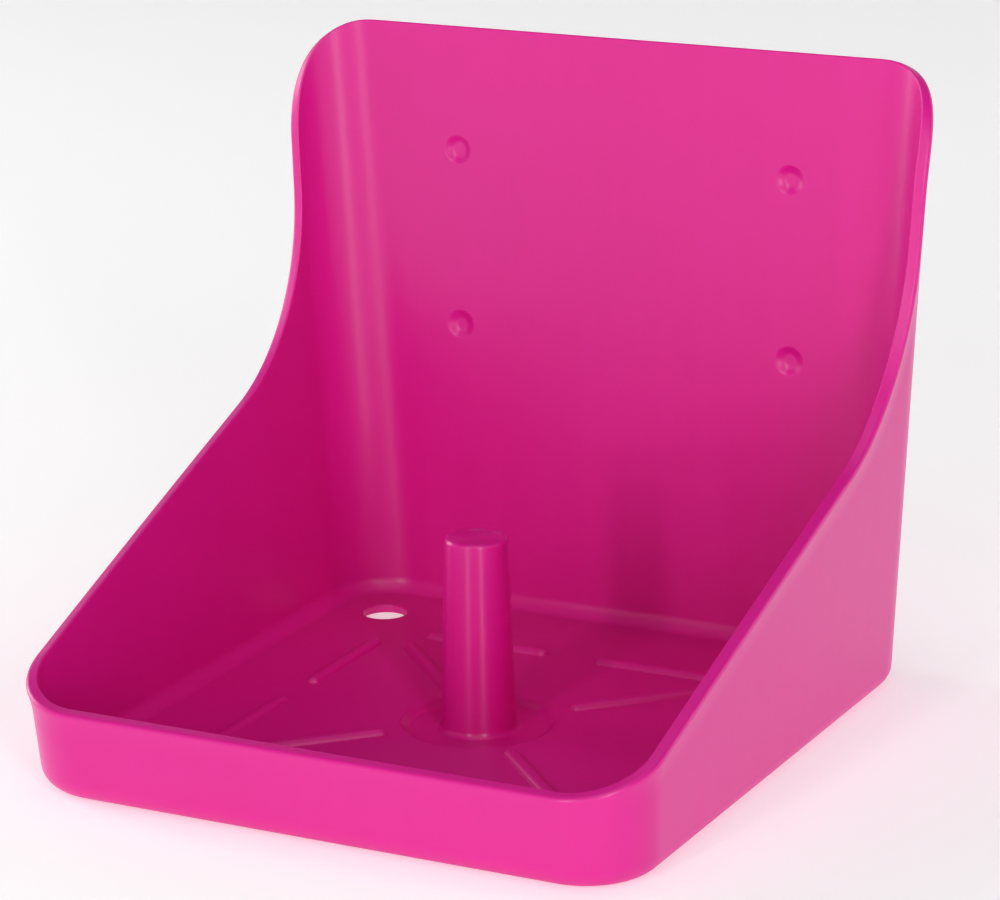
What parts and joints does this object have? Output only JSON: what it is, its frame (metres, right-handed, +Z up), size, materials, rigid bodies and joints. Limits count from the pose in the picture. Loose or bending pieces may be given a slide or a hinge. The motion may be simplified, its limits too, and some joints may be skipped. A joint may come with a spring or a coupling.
{
  "type": "feed bucket",
  "caption": "Wall-mounted open tray with a tall back wall, sweeping cheeks, a low front lip and an upright peg that holds a pierced salt or mineral block.",
  "frame": {"origin": "middle of the bounding box, on the plane that the holder stands on", "axes": "+Z up, +Y towards the wall that the holder hangs on, +X to its right as seen from the front"},
  "size_m": [0.2274, 0.2222, 0.2022],
  "materials": {
    "shell_plastic": "moulded, slightly satin",
    "peg_plastic": "moulded, slightly satin"
  },
  "bodies": {
    "root": {"holder_shell": "shell_plastic", "centre_peg": "peg_plastic"}
  },
  "joints": []
}
